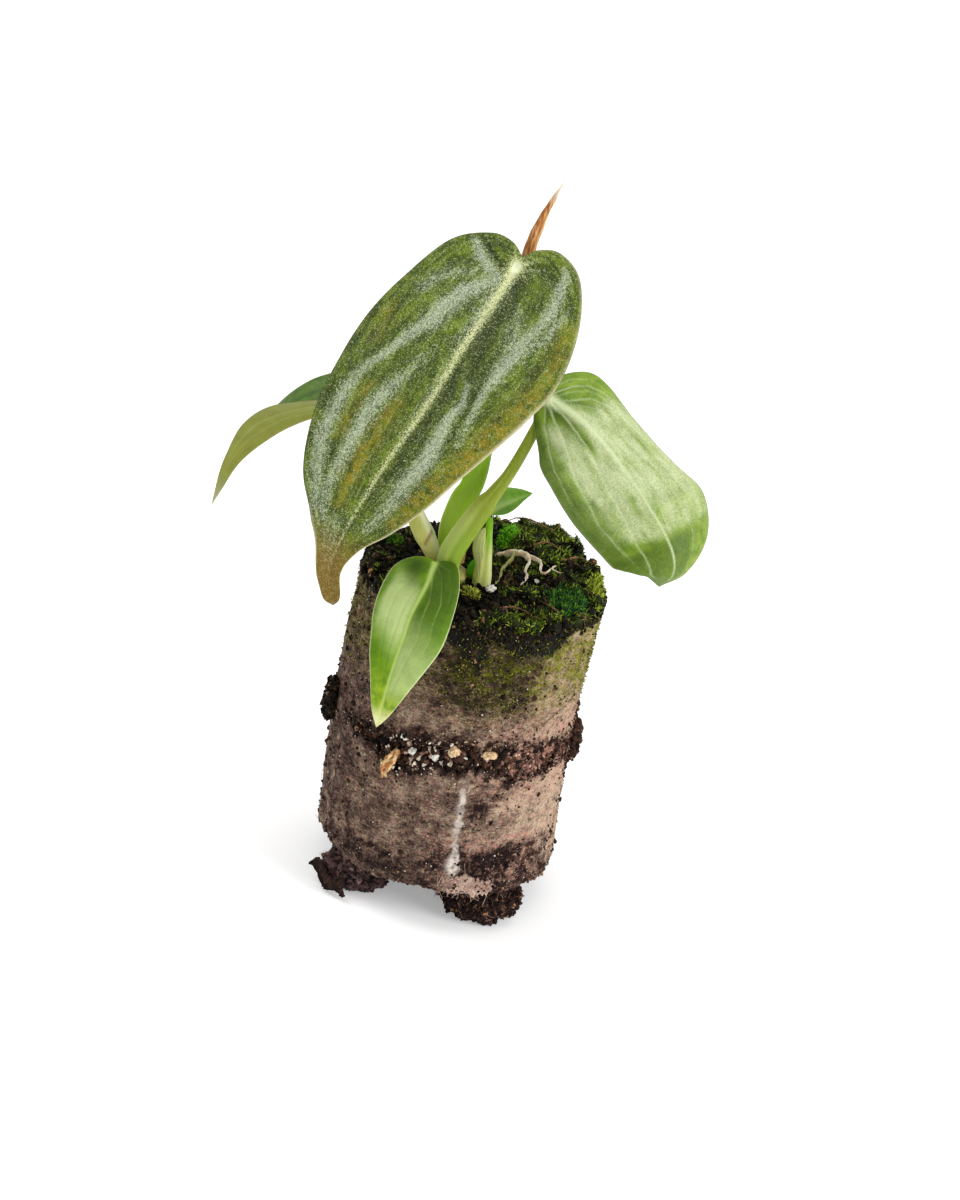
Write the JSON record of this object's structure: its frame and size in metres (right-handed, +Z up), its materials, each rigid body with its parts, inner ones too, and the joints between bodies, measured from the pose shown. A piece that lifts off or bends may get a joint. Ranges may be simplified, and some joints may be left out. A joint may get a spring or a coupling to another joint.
{
  "type": "potted philodendron",
  "caption": "Young climbing aroid with velvety green-gold and silver leaves, rooted in a paper-sleeved plug of growing medium that stands on its ragged base.",
  "frame": {"origin": "centre line of the growing plug, on the surface that it stands on", "axes": "+Z up along the plug, -Y towards the front, where the small front leaf hangs over the rim, +X towards the silvery leaf"},
  "size_m": [0.0999, 0.0602, 0.1507],
  "materials": {
    "medium": "matte",
    "rooty_medium": "matte",
    "sleeve_paper": "matte",
    "stained_paper": "matte",
    "pink_paper": "matte",
    "bright_moss": "matte",
    "deep_moss": "matte",
    "yellow_moss": "matte",
    "olive_moss": "matte",
    "perlite": "matte",
    "cream_grain": "matte",
    "orange_fibre": "matte",
    "crown_skin": "matte",
    "green_petiole": "satin",
    "olive_petiole": "satin",
    "cream_petiole": "satin",
    "pale_shoot": "satin",
    "dry_brown_sheath": "matte",
    "thin_sheath": "matte",
    "bud_green": "satin",
    "velvet_blade": "satin",
    "silver_blade": "satin",
    "olive_blade": "satin",
    "glossy_blade": "satin",
    "young_blade": "satin",
    "pale_root": "matte"
  },
  "bodies": {
    "root": {"growing_medium": "medium", "paper_sleeve": "sleeve_paper", "root_lump_left": "medium", "root_lump_right": "rooty_medium", "crumb_lump_left": "medium", "crumb_lump_right": "rooty_medium", "sleeve_flap_left": "stained_paper", "sleeve_scrap": "pink_paper", "moss_bright": "bright_moss", "moss_deep_green": "deep_moss", "moss_rim_right": "yellow_moss", "moss_stem_base": "yellow_moss", "moss_left": "bright_moss", "moss_mound": "olive_moss", "perlite_soil_a": "perlite", "perlite_soil_b": "perlite", "tear_grain_1": "cream_grain", "tear_grain_2": "cream_grain", "tear_grain_3": "perlite", "tear_grain_4": "perlite", "tear_grain_5": "perlite", "tear_fibre": "orange_fibre", "crown": "crown_skin", "petiole_main": "green_petiole", "petiole_right": "olive_petiole", "petiole_left": "cream_petiole", "petiole_front": "olive_petiole", "side_shoot": "pale_shoot", "dry_sheath": "dry_brown_sheath", "side_shoot_sheath": "thin_sheath", "bud": "bud_green", "leaf_main": "velvet_blade", "leaf_right": "silver_blade", "leaf_left": "olive_blade", "leaf_front": "glossy_blade", "leaf_back": "young_blade", "dry_root": "pale_root"}
  },
  "joints": []
}
